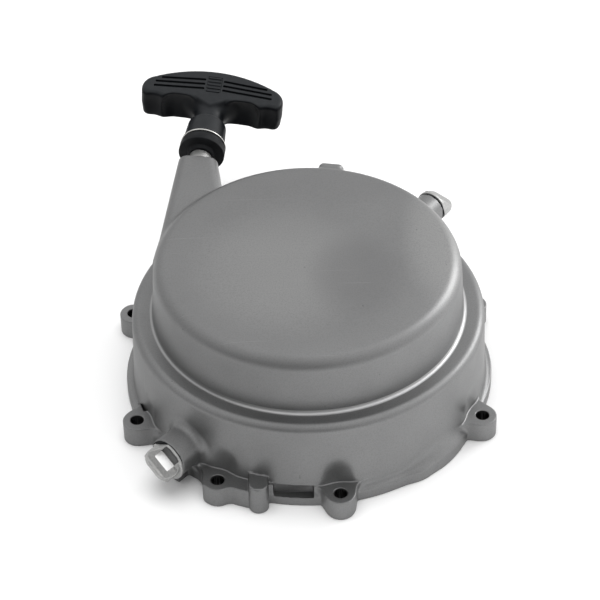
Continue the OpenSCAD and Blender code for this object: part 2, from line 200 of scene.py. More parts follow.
def mesh_object(name, verts, faces, normals=None):
    me = bpy.data.meshes.new(name)
    verts = np.asarray(verts, np.float32)
    me.vertices.add(len(verts))
    me.vertices.foreach_set("co", verts.ravel())
    faces = np.asarray(faces, np.int32)
    side = faces.shape[1]
    me.loops.add(faces.size)
    me.loops.foreach_set("vertex_index", faces.ravel())
    me.polygons.add(len(faces))
    me.polygons.foreach_set("loop_start", np.arange(0, faces.size, side, dtype=np.int32))
    me.polygons.foreach_set("loop_total", np.full(len(faces), side, np.int32))
    me.update(calc_edges=True)
    me.validate()
    me.polygons.foreach_set("use_smooth", np.ones(len(me.polygons), bool))
    if normals is not None:
        me.normals_split_custom_set_from_vertices([tuple(n) for n in normals])
    return link(bpy.data.objects.new(name, me))


def carved(name, f, lo, hi, cell, most=180000, place=None):
    """A piece meshed from a distance function, with normals taken from it. most is the limit on its triangles."""
    points, quads = surface(f, lo, hi, cell)
    points, _ = settle(f, points, cell)
    obj = mesh_object(name, points, quads)
    if len(quads) * 2 > most:
        m = obj.modifiers.new("fewer", "DECIMATE")
        m.ratio = most / (len(quads) * 2)
        m.use_collapse_triangulate = True
        dg = bpy.context.evaluated_depsgraph_get()
        me = bpy.data.meshes.new_from_object(obj.evaluated_get(dg))
        obj.modifiers.clear()
        old = obj.data
        obj.data = me
        bpy.data.meshes.remove(old)
        me.name = name
    me = obj.data
    co = np.empty(len(me.vertices) * 3, np.float32)
    me.vertices.foreach_get("co", co)
    p, normals = settle(f, co.reshape(-1, 3).astype(float), cell, 2)
    m = np.array(place if place is not None else Matrix.Identity(4), float)
    p = p @ m[:3, :3].T + m[:3, 3]
    normals = normals @ m[:3, :3].T
    me.vertices.foreach_set("co", (p * MM).astype(np.float32).ravel())
    me.update()
    me.polygons.foreach_set("use_smooth", np.ones(len(me.polygons), bool))
    me.normals_split_custom_set_from_vertices([tuple(n) for n in normals])
    return obj


def rounded(points, radius, steps=4):
    """A closed profile with each corner replaced by a small arc."""
    out = []
    for i, p in enumerate(points):
        p = np.array(p, float)
        a, b = np.array(points[i - 1], float), np.array(points[(i + 1) % len(points)], float)
        r = radius[i] if isinstance(radius, (list, tuple)) else radius
        ua, ub = a - p, b - p
        la, lb = np.linalg.norm(ua), np.linalg.norm(ub)
        if r <= 0 or min(la, lb) < 1e-6:
            out.append(tuple(p))
            continue
        ua, ub = ua / la, ub / lb
        half = math.acos(max(-1, min(1, float(ua @ ub)))) / 2
        if half > math.radians(88) or half < math.radians(2):
            out.append(tuple(p))
            continue
        cut = min(r / math.tan(half), la * 0.48, lb * 0.48)
        for k in range(steps + 1):
            t = k / steps
            q = (1 - t) ** 2 * (p + ua * cut) + 2 * t * (1 - t) * p + t * t * (p + ub * cut)
            out.append(tuple(q))
    return out


def lathe(name, profile, place, segments=96, sharp=35):
    """A closed profile of (radius, height) turned about the local Z axis."""
    k = len(profile)
    ang = np.arange(segments) * 2 * math.pi / segments
    verts = np.array([[r * math.cos(a), r * math.sin(a), z] for a in ang for r, z in profile])
    faces = [[i * k + j, ((i + 1) % segments) * k + j, ((i + 1) % segments) * k + (j + 1) % k, i * k + (j + 1) % k]
             for i in range(segments) for j in range(k)]
    area = sum(profile[j - 1][0] * profile[j][1] - profile[j][0] * profile[j - 1][1] for j in range(k))
    if area < 0:
        faces = [f[::-1] for f in faces]
    m = np.array(place, float)
    verts = verts @ m[:3, :3].T + m[:3, 3]
    obj = mesh_object(name, verts * MM, faces)
    obj.data.set_sharp_from_angle(angle=math.radians(sharp))
    return obj


# ---------------------------------------------------------------- materials


class Look:
    """A node material with a few short ways to add nodes."""

    def __init__(self, name, colour=(0.5, 0.5, 0.5), metallic=0.0, roughness=0.5):
        self.m = bpy.data.materials.new(name)
        self.m.use_nodes = True
        self.t = self.m.node_tree
        self.t.nodes.clear()
        out = self.t.nodes.new("ShaderNodeOutputMaterial")
        self.b = self.t.nodes.new("ShaderNodeBsdfPrincipled")
        self.t.links.new(self.b.outputs[0], out.inputs["Surface"])
        self.set("Base Color", (*colour, 1))
        self.set("Metallic", metallic)
        self.set("Roughness", roughness)
        self.place = self.t.nodes.new("ShaderNodeTexCoord").outputs["Object"]
        self.height = None

    def set(self, socket, value):
        self.feed(self.b.inputs[socket], value)
        return self

    def feed(self, socket, value):
        if isinstance(value, bpy.types.NodeSocket):
            self.t.links.new(value, socket)
        elif value is not None:
            socket.default_value = value

    def node(self, kind, inputs=None, **props):
        n = self.t.nodes.new("ShaderNode" + kind)
        for k, v in props.items():
            setattr(n, k, v)
        for k, v in (inputs or {}).items():
            self.feed(n.inputs[k], v)
        return n

    def stretched(self, scale, turn=(0, 0, 0), shift=(0, 0, 0)):
        return self.node("Mapping", {"Vector": self.place, "Scale": scale, "Rotation": turn,
                                     "Location": shift}).outputs[0]

    def noise(self, scale, detail=2.0, rough=0.5, bend=0.0, where=None):
        return self.node("TexNoise", {"Vector": where or self.place, "Scale": scale, "Detail": detail,
                                      "Roughness": rough, "Distortion": bend}).outputs[0]

    def math(self, op, a, b=None, c=None, clamp=False):
        n = self.node("Math", operation=op, use_clamp=clamp)
        for i, v in enumerate((a, b, c)):
            if v is not None:
                self.feed(n.inputs[i], v)
        return n.outputs[0]

    def span(self, value, a, b, lo=0.0, hi=1.0, smooth=True):
        return self.node("MapRange", {"Value": value, "From Min": a, "From Max": b, "To Min": lo, "To Max": hi},
                         interpolation_type="SMOOTHSTEP" if smooth else "LINEAR", clamp=True).outputs[0]

    def mix(self, share, a, b, kind="MIX"):
        n = self.node("Mix", data_type="RGBA", blend_type=kind)
        self.feed(n.inputs[0], share)
        for socket, v in ((n.inputs[6], a), (n.inputs[7], b)):
            self.feed(socket, v if isinstance(v, bpy.types.NodeSocket) else (*v, 1) if len(v) == 3 else v)
        return n.outputs[2]

    def split(self, vector):
        return self.node("SeparateXYZ", {"Vector": vector}).outputs

    def bump(self, height, distance, strength=1.0):
        n = self.node("Bump", {"Height": height, "Distance": distance, "Strength": strength})
        if self.height is not None:
            self.feed(n.inputs["Normal"], self.height)
        self.height = n.outputs[0]
        self.feed(self.b.inputs["Normal"], self.height)
        return self


def cast_look():
    k = Look("cast_aluminium", metallic=1.0)
    x, y, z = k.split(k.place)
    # cast skin: faint wide clouding, a fine grain, pits and a few hairline scratches
    cloud = k.noise(9, 3, 0.5, 0.4)
    grain = k.noise(1400, 3, 0.65)
    tone = k.mix(k.span(cloud, 0.3, 0.7), CAST_TONES[0], CAST_TONES[1])
    # painted light and shade on the roof, standing in for its reflections: the middle is painted lighter on one side
    # and duller on the other, with a darker band towards the back and a light strip at the right
    for (cx, cy, w, h), shade, most in (((-0.014, -0.012, 0.042, 0.045), (0.38, 0.38, 0.378), 0.60),
                                        ((0.026, -0.016, 0.024, 0.032), (0.21, 0.21, 0.212), 0.55),
                                        ((0.0, 0.060, 0.07, 0.018), (0.25, 0.25, 0.252), 0.35),
                                        ((0.072, 0.012, 0.02, 0.05), (0.42, 0.42, 0.418), 0.7)):
        u = k.math("DIVIDE", k.math("SUBTRACT", x, cx), w)
        v = k.math("DIVIDE", k.math("SUBTRACT", y, cy), h)
        far = k.math("ADD", k.math("MULTIPLY", u, u), k.math("MULTIPLY", v, v))
        share = k.math("MULTIPLY", k.span(far, 1.6, 0.0, 0.0, most), k.span(z, 0.079, 0.083))
        tone = k.mix(share, tone, shade)
    tone = k.mix(k.span(grain, 0.40, 0.72, 0.0, 0.30), tone, (0.17, 0.17, 0.172))
    pits = k.noise(420, 2, 0.5, 0.2)
    tone = k.mix(k.span(pits, 0.74, 0.82, 0.0, 0.5), tone, (0.10, 0.10, 0.102))
    hair = None
    for turn, shift, lo in ((0.35, 0.2, 0.735), (1.25, 1.7, 0.745), (-0.7, 3.1, 0.745)):
        streak = k.noise(1.0, 2, 0.4, 0.25, k.stretched((14, 950, 60), (0, 0, turn), (shift, 0, 0)))
        line = k.span(streak, lo, lo + 0.03)
        hair = line if hair is None else k.math("MAXIMUM", hair, line)
    on_roof = k.span(z, 0.078, 0.083)
    tone = k.mix(k.math("MULTIPLY", k.math("MULTIPLY", hair, 0.22), on_roof), tone, (0.46, 0.46, 0.46))
    # the mounting face is turned bright
    turned_face = k.span(z, 0.0003, 0.0001)
    reach = k.math("SQRT", k.math("ADD", k.math("MULTIPLY", x, x), k.math("MULTIPLY", y, y)))
    # painted highlight: a bright line is painted along the fillet at the foot of the upper drum, most of all towards
    # the front right
    front = k.span(k.math("SUBTRACT", k.math("MULTIPLY", x, 0.6), k.math("MULTIPLY", y, 0.8)), 0.02, 0.07, 0.25, 1.0)
    line = k.math("MULTIPLY", k.math("MULTIPLY", k.span(reach, 0.0818, 0.0822), k.span(reach, 0.0842, 0.0836)),
                  k.math("MULTIPLY", k.span(z, 0.0508, 0.0512), k.span(z, 0.0536, 0.0530)))
    tone = k.mix(k.math("MULTIPLY", k.math("MULTIPLY", line, front), 0.85), tone, (0.80, 0.80, 0.80))
    # painted shade: the insides of the screw holes and of the foot recess are painted dark
    tone = k.mix(k.node("Attribute", attribute_name="bore_shade").outputs["Fac"], tone, (0.035, 0.035, 0.036))
    rings = k.math("SINE", k.math("MULTIPLY", reach, 14000.0))
    tone = k.mix(turned_face, tone, (0.52, 0.52, 0.515))
    k.set("Base Color", tone)
    rough = k.span(k.noise(45, 3, 0.5), 0.3, 0.7, 0.40, 0.47)
    rough = k.math("SUBTRACT", rough, k.math("MULTIPLY", turned_face, 0.14))
    k.set("Roughness", rough)
    k.bump(k.noise(1700, 2, 0.6), 0.00005, 0.4)
    k.bump(k.noise(120, 3, 0.5), 0.00020, 0.16)
    k.bump(k.math("MULTIPLY", rings, turned_face), 0.00001, 0.5)
    return k.m


def machined_look():
    k = Look("machined_alloy", metallic=1.0)
    tone = k.mix(k.span(k.noise(900, 3, 0.7), 0.3, 0.7), (0.49, 0.49, 0.485), (0.60, 0.60, 0.59))
    # painted light and shade: pocket floors painted matt white like a bright see-through window, pocket walls by the
    # flange painted dark
    pocket = k.node("Attribute", attribute_name="pocket").outputs["Fac"]
    tone = k.mix(k.span(pocket, 0.2, 0.8), tone, (0.96, 0.96, 0.955))
    tone = k.mix(k.span(pocket, -0.2, -0.8), tone, (0.12, 0.12, 0.12))
    k.set("Base Color", tone)
    rough = k.span(k.noise(220, 2, 0.5), 0.3, 0.7, 0.42, 0.52)
    k.set("Roughness", rough)
    k.set("Metallic", k.span(pocket, 0.2, 0.8, 1.0, 0.0))
    k.bump(k.noise(2600, 2, 0.6), 0.00003, 0.4)
    return k.m


def plastic_look():
    k = Look("black_plastic")
    # painted light: faces that look up are painted a lighter grey and given more sheen
    up = k.span(k.split(k.node("TexCoord").outputs["Normal"])[2], 0.25, 0.95)
    deep = k.mix(k.span(k.noise(120, 3, 0.5), 0.3, 0.7), (0.0030, 0.0036, 0.0046), (0.0048, 0.0056, 0.0070))
    lit_top_tone = k.mix(k.span(k.noise(300, 3, 0.6), 0.3, 0.7), (0.0100, 0.0114, 0.0132), (0.0136, 0.0152, 0.0172))
    k.set("Base Color", k.mix(up, deep, lit_top_tone))
    k.set("Roughness", k.span(k.noise(240, 3, 0.5), 0.3, 0.7, 0.38, 0.46))
    k.set("Specular IOR Level", k.span(up, 0.0, 1.0, 0.12, 0.26))
    k.bump(k.noise(2600, 2, 0.7), 0.00004, 0.35)
    return k.m


def rubber_look():
    k = Look("black_rubber")
    cloud = k.span(k.noise(160, 3, 0.5), 0.3, 0.7)
    k.set("Base Color", k.mix(cloud, (0.0045, 0.005, 0.006), (0.008, 0.0088, 0.0102)))
    k.set("Specular IOR Level", 0.22)
    k.set("Roughness", k.span(k.noise(300, 2, 0.5), 0.3, 0.7, 0.5, 0.62))
    k.bump(k.noise(2000, 2, 0.7), 0.00003, 0.3)
    return k.m


def metal_look(name, lo, hi, rough_lo, rough_hi, grain=900):
    k = Look(name, metallic=1.0)
    k.set("Base Color", k.mix(k.span(k.noise(140, 3, 0.6), 0.3, 0.7), lo, hi))
    k.set("Roughness", k.span(k.noise(260, 3, 0.5), 0.3, 0.7, rough_lo, rough_hi))
    k.bump(k.noise(grain, 3, 0.6), 0.00004, 0.35)
    return k.m


def dull_look(name, lo, hi, rough_lo, rough_hi, grain=900):
    k = Look(name)
    k.set("Base Color", k.mix(k.span(k.noise(140, 3, 0.6), 0.3, 0.7), lo, hi))
    k.set("Roughness", k.span(k.noise(260, 3, 0.5), 0.3, 0.7, rough_lo, rough_hi))
    k.bump(k.noise(grain, 3, 0.6), 0.00006, 0.4)
    return k.m


CAST_TONES = ((0.272, 0.273, 0.274), (0.302, 0.303, 0.304))

LOOKS = {
    "cast_aluminium": cast_look(),
    "machined_alloy": machined_look(),
    "black_plastic": plastic_look(),
    "black_rubber": rubber_look(),
    "zinc_steel": metal_look("zinc_steel", (0.50, 0.50, 0.52), (0.62, 0.62, 0.63), 0.26, 0.40),
    "spring_steel": metal_look("spring_steel", (0.20, 0.21, 0.23), (0.30, 0.31, 0.33), 0.28, 0.42),
    "reel_nylon": dull_look("reel_nylon", (0.028, 0.030, 0.033), (0.045, 0.047, 0.05), 0.45, 0.6),
    "bush_bronze": metal_look("bush_bronze", (0.45, 0.30, 0.14), (0.58, 0.41, 0.20), 0.3, 0.45),
    "rope_fibre": dull_look("rope_fibre", (0.018, 0.018, 0.02), (0.035, 0.035, 0.037), 0.7, 0.85),
    "pawl_steel": metal_look("pawl_steel", (0.34, 0.34, 0.35), (0.46, 0.46, 0.47), 0.3, 0.45),
    "ring_steel": metal_look("ring_steel", (0.80, 0.79, 0.76), (0.90, 0.89, 0.86), 0.18, 0.28),
}


def dress(obj, slot, body, *nodes):
    obj.data.materials.clear()
    obj.data.materials.append(LOOKS[slot])
    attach(obj, body)
    if nodes:
        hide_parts(*nodes)
    return obj


# ---------------------------------------------------------------- case

CASE_H, CROWN = 84.8, 1.0
UP_TOP, UP_BASE, LOW_TOP, LOW_BASE = 80.3, 82.4, 93.3, 94.8
SHOULDER, FLANGE_R, FLANGE_T = 51.3, 96.7, 6.4
CAV_LOW, CAV_UP, ROOF, REGISTER_R = 90.0, 76.6, 3.8, 91.5
INNER_TOP, INNER_STEP = CASE_H - ROOF, SHOULDER - 4
ANCHOR_ANGLE, ANCHOR_REACH, ANCHOR_TOP = 80, 86, 81.9
LUGS = [(a + t, 101.1) for a in (-118.7, -81.9, -154.7) for t in (0, 180)] + [(-26.7, 101.1), (156.5, 105.0)]
LUG_R, LUG_T, HOLE_R = 7.6, 12.0, 3.5
# angle, height, distance of the sealing face, turn of the head, radius of the flange
PLUGS = {"front": (-132.5, 20.0, 109.0, -34.0, 11.6), "rear": (52.0, 43.5, 113.8, 8.0, 9.4)}
RING_AT = Vector((-56.5, 116, 70.6))
HANDLE = (Matrix.Translation(RING_AT) @ Matrix.Rotation(math.radians(-8), 4, "Z")
          @ Matrix.Rotation(math.radians(6), 4, "X") @ Matrix.Rotation(math.radians(5), 4, "Y"))
PULL_AXIS = HANDLE.to_3x3() @ Vector((0, 1, 0))
MOUTH_N, BUSH_R = -17.0, 6.2


def along_pull(x, y, z):
    return (x - RING_AT.x) * PULL_AXIS.x + (y - RING_AT.y) * PULL_AXIS.y + (z - RING_AT.z) * PULL_AXIS.z


def from_pull(x, y, z, n):
    dx, dy, dz = x - RING_AT.x - n * PULL_AXIS.x, y - RING_AT.y - n * PULL_AXIS.y, z - RING_AT.z - n * PULL_AXIS.z
    return np.sqrt(dx * dx + dy * dy + dz * dz)


def hump(angle, middle, half):
    """1 at the middle angle, falling smoothly to 0 at half degrees to either side."""
    t = np.abs((angle - middle + 180) % 360 - 180) / half
    return np.where(t < 1, (1 - np.minimum(t, 1) ** 2) ** 2, 0)


def case_shape(x, y, z):
    r = np.hypot(x, y)
    turn = np.degrees(np.arctan2(y, x))
    low = both(r - (LOW_BASE - (LOW_BASE - LOW_TOP) * (z - FLANGE_T) / (SHOULDER - FLANGE_T)), z - SHOULDER, 4.2)
    up_r = UP_BASE - (UP_BASE - UP_TOP) * (z - SHOULDER) / (CASE_H - SHOULDER)
    crown = CROWN * (1 - (r / 80) ** 2) - 1.1 * np.clip((r - 62) / 18, 0, 1.1) ** 3
    up = both(r - up_r, z - CASE_H - crown, 6.0)
    edge_r = FLANGE_R + 1.9 * hump(turn, 2, 26) + 2.2 * hump(turn, 177, 38) + 1.3 * hump(turn, -54.6, 5.5)
    rim = both(r - edge_r, z - FLANGE_T, 0.7)
    d = smin(low, up, 1.3)

    lugs = np.full_like(r, 1e3)
    holes = np.full_like(r, 1e3)
    cuts = np.full_like(r, 1e3)
    for angle, circle in LUGS:
        u, v = turned(x, y, angle)
        u = u - circle
        lugs = np.minimum(lugs, np.hypot(u, v) - LUG_R)
        holes = np.minimum(holes, np.hypot(u, v) - HOLE_R)
        cuts = np.minimum(cuts, np.sqrt((u - 0.6) ** 2 + v * v + (np.maximum(z - 17, 0) * 0.7) ** 2) - 7.7)
    # web from the front lug to the solid boss, and its square end under the plug boss
    web = np.minimum(stroke(x, y, (-44.5, -87.2), (-32.5, -91.8), 5.6, 5.8),
                     box2(x + 50.5, y + 84.0, 4.9, 8.2, 1.2))
    plan = smin(smin(lugs, web, 2.5), r - 94.2, 12)
    pads = both(plan, z - LUG_T, 0.5)
    cuts = np.maximum(cuts, LUG_T - z)
    d = smax(d, -cuts, 4.5)
    # the wall runs out to the flange in a fillet, wide between the two right-hand lugs
    k = 4.0 + 9.0 * hump(turn, -46, 17)
    d = smin(pads, smin(rim, d, k), 0.8)

    # solid boss beside the front lug
    bx, by = x + 27.6, y + 96.8
    stud = np.minimum(np.hypot(bx, by) - 5.2, np.maximum(np.abs(bx) - 5.0, np.maximum(-by, by - 12)))
    d = smin(d, both(stud, z - 17.0, 0.6), 0.8)
    step = np.maximum(np.abs(x + 21.6) - 1.5, np.maximum(-94.6 - y, y + 84))
    d = smin(d, both(step, z - 13.0, 0.5), 0.6)
    # recess in the foot of the wall, and a small three-sided pocket by the left lug
    foot = np.maximum(np.maximum(-19.7 - x, x - 0.6), np.maximum(y + 91.7, slab(z, 5.1, 12.0)))
    d = less(d, foot, 0.35)
    pocket = np.maximum(np.maximum((x + 91.2) * -0.95 + (y + 27.0) * -0.31, (x + 87.4) * 0.91 + (y + 34.8) * 0.42),
                        np.maximum(-36.4 - y, 5.0 - z))
    d = smax(d, -pocket, 0.5)

    # plug bosses
    for angle, pz, end, _, flange in PLUGS.values():
        a, t = turned(x, y, angle)
        q = np.hypot(t, z - pz)
        boss = both(q - (flange - 0.6), a - end, 0.5)
        boss = np.maximum(boss, 70 - a)
        d = smin(d, boss, 4.5)
    # web under the front boss, down to the flange
    a, t = turned(x, y, PLUGS["front"][0])
    web = both(np.maximum(np.abs(t) - 2.0, a - 104.5), z - 20, 0.5)
    web = np.maximum(web, 80 - a)
    d = smin(d, web, 1.6)

    # rope neck
    s = (y - 8) / 98
    cx, hx = -59.5 + s * (-59.1 + 59.5), 21.5 + s * (10.1 - 21.5)
    cz, hz = 65.0 + s * (68.0 - 65.0), 14.5 + s * (9.0 - 14.5)
    neck = box2(x - cx, z - cz, hx, hz, 5.5)
    n = along_pull(x, y, z)
    neck = both(neck, n - MOUTH_N, 0.35)
    neck = np.maximum(neck, 10 - y)
    d = smin(d, neck, 3.2)

    # small boss outside the spring anchor
    a, t = turned(x, y, ANCHOR_ANGLE)
    bump = both(both(np.abs(t) - 7, a - ANCHOR_REACH, 3.0), z - ANCHOR_TOP, 3.5)
    bump = np.maximum(bump, np.maximum(70 - a, 48 - z))
    d = smin(d, bump, 2.5)

    # hollows
    cav = both(r + np.maximum(z - INNER_STEP + 4, 0) - CAV_LOW, z - INNER_STEP, 1.0)
    cav = np.minimum(cav, np.maximum(r - REGISTER_R, z - 3))
    cav_up = both(r - CAV_UP, z - INNER_TOP, 3.0)
    hollow = smin(cav, cav_up, 1.0)
    d = less(d, hollow, 0.5)
    d = less(d, holes, 0.35)
    for angle, pz, end, _, flange in PLUGS.values():
        a, t = turned(x, y, angle)
        d = less(d, np.maximum(np.hypot(t, z - pz) - (flange - 3.1), end - 22 - a), 0.3)
    q = from_pull(x, y, z, n)
    d = less(d, np.maximum(q - BUSH_R - 0.02, -26 - n), 0.25)
    wx, wy, wz = -1.6 / 55.1, 55 / 55.1, 3.0 / 55.1
    s = (x + 58.7) * wx + (y - 40) * wy + (z - 65.1) * wz
    q = np.sqrt(np.maximum((x + 58.7) ** 2 + (y - 40) ** 2 + (z - 65.1) ** 2 - s * s, 0))
    d = less(d, np.maximum(q - 5, np.maximum(-s, s - 55.1)), 0.3)

    # post that carries the reel
    post = np.maximum(np.minimum(both(r - 9, 46 - z, 0.4), both(r - 7, 38.8 - z, 0.4)), z - CASE_H + 2)
    pad = np.maximum(r - 14, np.maximum(80.2 - z, z - CASE_H + 2))
    post = smin(post, pad, 2.0)
    d = smin(d, less(post, np.maximum(r - 3.05, z - 62), 0.2), 1.0)
    return both(d, -z, 0.35)


def bore_shade(x, y, z):
    """1 deep inside the screw holes and the foot recess, 0 on open faces."""
    shade = np.zeros_like(x)
    for angle, circle in LUGS:
        u, v = turned(x, y, angle)
        inside = np.hypot(u - circle, v) < HOLE_R + 0.25
        shade = np.maximum(shade, np.where(inside, np.clip((LUG_T - 0.3 - z) / 1.6, 0, 1), 0))
    foot = (x > -19.6) & (x < 0.5) & (y > -92.6) & (z > 5.0) & (z < 12.1) & (y < -80) & (np.hypot(x, y) > 88)
    return np.maximum(shade, np.where(foot, np.clip((-91.2 - y) * -0.4 + 0.55, 0, 0.9), 0))


def shaded(obj):
    """Stores bore_shade, the mask of painted shade, on the vertices, for the look of the casting."""
    co = np.empty(len(obj.data.vertices) * 3, np.float32)
    obj.data.vertices.foreach_get("co", co)
    p = co.reshape(-1, 3).astype(float) / MM
    painted_mask = obj.data.attributes.new("bore_shade", "FLOAT", "POINT")
    painted_mask.data.foreach_set("value", bore_shade(p[:, 0], p[:, 1], p[:, 2]).astype(np.float32))
    return obj


# The casting is meshed in two heights, the foot more finely; they overlap by a hair inside the wall.
FOOT_TOP, BODY_LOW = 13.6, 12.9
foot = carved("case_foot", lambda x, y, z: np.maximum(case_shape(x, y, z), z - FOOT_TOP), (-113, -113, -1),
              (113, 113, 14), 0.56, 150000)
dress(shaded(foot), "cast_aluminium", "case", "starter_case")
body = carved("case_casting", lambda x, y, z: np.maximum(case_shape(x, y, z), BODY_LOW - z), (-113, -113, 12),
              (104, 108, 87), 1.0, 190000)
dress(body, "cast_aluminium", "case", "starter_case")

# ---------------------------------------------------------------- handle


def bar_plan(w, n):
    a = np.abs(w)
    steps = 9
    spine = [30.3 * i / steps for i in range(steps + 1)]
    d = np.full_like(a, 1e3)
    for p, q in zip(spine, spine[1:]):
        d = np.minimum(d, stroke(a, n, (p, 40.1 - 0.00708 * p * p), (q, 40.1 - 0.00708 * q * q),
                                 12.3 - 0.0024 * p * p, 12.3 - 0.0024 * q * q))
    return d


def grip_shape(w, n, h):
    a = np.abs(w)
    plan = bar_plan(w, n)
    # flat fronts of the two ends, then the scoops for the fingers: a long one beside the stem, a small one in the end
    plan = smax(plan, 26.1 + 1.3 * hump(a * 10, 325, 60) - n, 3.4)
    bar = both(plan + 0.12 * np.maximum(-h - 1, 0), np.abs(h) - 9.65, 2.6)
    tall = 0.60 * h
    long_scoop = np.sqrt((a - np.clip(a, 15.6, 20.4)) ** 2 + (n - 22.2) ** 2 + tall * tall) - 9.2
    end_scoop = np.sqrt((a - np.clip(a, 32.6, 33.6)) ** 2 + (n - 20.0) ** 2 + tall * tall) - 8.5
    bar = smax(bar, -smin(long_scoop, end_scoop, 1.0), 1.4)
    flare = np.hypot(w, h * 1.04) - (8.1 + 0.055 * np.maximum(n - 20, 0) ** 2)
    flare = both(np.maximum(flare * 0.8, np.maximum(9 - n, n - 33)), np.abs(h) - 9.2, 1.2)
    gusset = both(np.maximum((a - (n - 23.4) * 1.65) * 0.53, n - 34), np.abs(h) - 9.5, 1.0)
    d = smin(np.minimum(bar, gusset), flare, 2.0)
    d = np.maximum(d, np.abs(h) - 9.65)
    stem_r = 11.8 - (np.clip(n, 1.6, 26) - 1.6) * 0.075
    stem = both(np.hypot(w, h) - stem_r, np.abs(n - 7.6) - 7.0, 0.45)
    d = smin(d, stem, 0.7)
    # three grooves each side on the upper face, and short raised ribs in a shallow panel between them
    for (wi, ni), (wo, no) in (((5.9, 43.7), (29.6, 41.3)), ((5.9, 40.0), (32.6, 37.7)), ((5.9, 36.3), (33.0, 34.1))):
        line = stroke(a, n, (wi, ni), (wo, no), 0.85, 0.85)
        d = less(d, both(line, 8.3 - h, 0.2), 0.2)
    d = less(d, both(box2(w, n - 40.2, 4.2, 6.4, 0.6), 9.3 - h, 0.15), 0.15)
    for i in range(5):
        rib = box2(w, n - (34.9 + 2.65 * i), 3.7, 0.62, 0.5)
        d = np.minimum(d, both(rib, np.abs(h - 9.2) - 0.65, 0.2))
    bore = np.hypot(w, h)
    d = less(d, np.minimum(np.maximum(bore - 3.0, n - 45), np.maximum(bore - 7.0, 37.8 - n)), 0.25)
    return d


def cap_shape(w, n, h):
    top = both(bar_plan(w, n) + 0.35 + 0.12 * np.maximum(-h - 1, 0), np.abs(h) - 9.65, 2.4)
    return both(top, np.maximum(np.hypot(w, h) - 6.9, 49.8 - n), 0.3)


grip = carved("pull_handle", grip_shape, (-42, -1, -11), (42, 54, 11.5), 0.36, 190000, HANDLE)
dress(grip, "black_plastic", "handle", "handle_grip")
cap = carved("handle_end_cap", cap_shape, (-8, 48, -8), (8, 54, 8), 0.3, 40000, HANDLE)
dress(cap, "black_plastic", "handle", "handle_cap")

TURN = HANDLE @ Matrix.Rotation(math.radians(-90), 4, "X")  # local Z along the pull
ring = lathe("handle_ring_bright", rounded([(3.0, -0.55), (12.88, -0.55), (12.88, 0.35), (3.0, 0.35)], 0.4), TURN)
dress(ring, "ring_steel", "handle", "handle_ring")
seal = lathe("handle_seal_lip", rounded(
    [(2.9, -0.6), (12.2, -0.6), (12.2, -2.0), (12.8, -2.6), (12.9, -6.9), (12.6, -7.2), (8.1, -7.2),
     (7.8, -7.5), (7.0, -9.2), (2.9, -9.2)], [0.1, 0.3, 0.3, 0.3, 0.25, 0.2, 0.3, 0.3, 0.6, 0.1]), TURN)
dress(seal, "black_rubber", "handle", "handle_seal")
bush = lathe("neck_guide_bush", rounded(
    [(6.2, -25.8), (6.2, -9.9), (5.5, -9.3), (3.7, -9.3), (3.3, -10.2), (3.3, -22.8), (4.4, -25.8)], 0.3), TURN)
dress(bush, "machined_alloy", "case", "neck_bush")

# ---------------------------------------------------------------- plugs


# distance of the pocket floors from the middle plane of the head
POCKET_V = 4.2


def plug_shape(a, t, v, flange):
    """a runs outwards from the sealing face, t across the head, v through its thickness (already rolled)."""
    q = np.hypot(t, v)
    shank = np.maximum(q - (flange - 3.15), np.abs(a + 9.7) - 10.3)
    disc = both(q - flange + 0.1, np.abs(a - 1.2) - 0.7, 0.35)
    # the faces of the head slope from the flange to a thin outer edge
    plan = np.maximum(box2(a - 5.1, t, 6.1, 9.25, 5.6), 1.0 - a)
    slope = (np.abs(v) - (flange - 0.8) + (a - 1.9) * 1.16) * 0.65
    head = both(plan, np.minimum(slope, np.abs(v) - 1.7), 0.5)
    head = np.maximum(head, q - flange + 0.5)
    pocket = np.maximum(box2(a - 5.0, t, 2.6, 5.2, 1.0), POCKET_V - np.abs(v))
    head = less(head, pocket, 0.25)
    d = np.minimum(shank, smin(disc, head, 0.5))
    # two short tool marks beside the pocket, and a chamfer on the other side
    for k in (3.1, 4.7):
        depth = (flange - 1.5) - (a - 1.9) * 1.16 - np.abs(v)
        notch = np.maximum(np.abs(a - k) - 0.26, np.maximum(np.abs(t - 7.4) - 1.5, depth))
        d = np.maximum(d, -notch)
    return both(d, (np.abs(v) * 0.45 - t * 0.9) - (8.9 + 0.1 * (flange - 9.4)), 0.2)


def plug_painted_light(obj, place, flange):
    """Marks the painted light and shade of the two pockets: their floors are painted matt white to look like a bright
    see-through window, and their walls beside the flange are painted dark as shade.
    """
    co = np.empty(len(obj.data.vertices) * 3, np.float32)
    obj.data.vertices.foreach_get("co", co)
    m = np.linalg.inv(np.array(place, float))
    p = co.reshape(-1, 3).astype(float) / MM @ m[:3, :3].T + m[:3, 3]
    deep = np.abs(p[:, 2])
    bright_painted_floor = (p[:, 0] > 2.45) & (p[:, 0] < 7.5) & (np.abs(p[:, 1]) < 5.1) & (deep < POCKET_V + 0.2) & (deep > 2)
    dark_painted_wall = (p[:, 0] > 2.0) & (p[:, 0] < 2.9) & (np.abs(p[:, 1]) < 5.1) & (deep >= POCKET_V + 0.2)
    painted_mask = obj.data.attributes.new("pocket", "FLOAT", "POINT")
    painted_mask.data.foreach_set("value", np.where(bright_painted_floor, 1.0, np.where(dark_painted_wall, -1.0, 0.0)).astype(np.float32))
    return obj


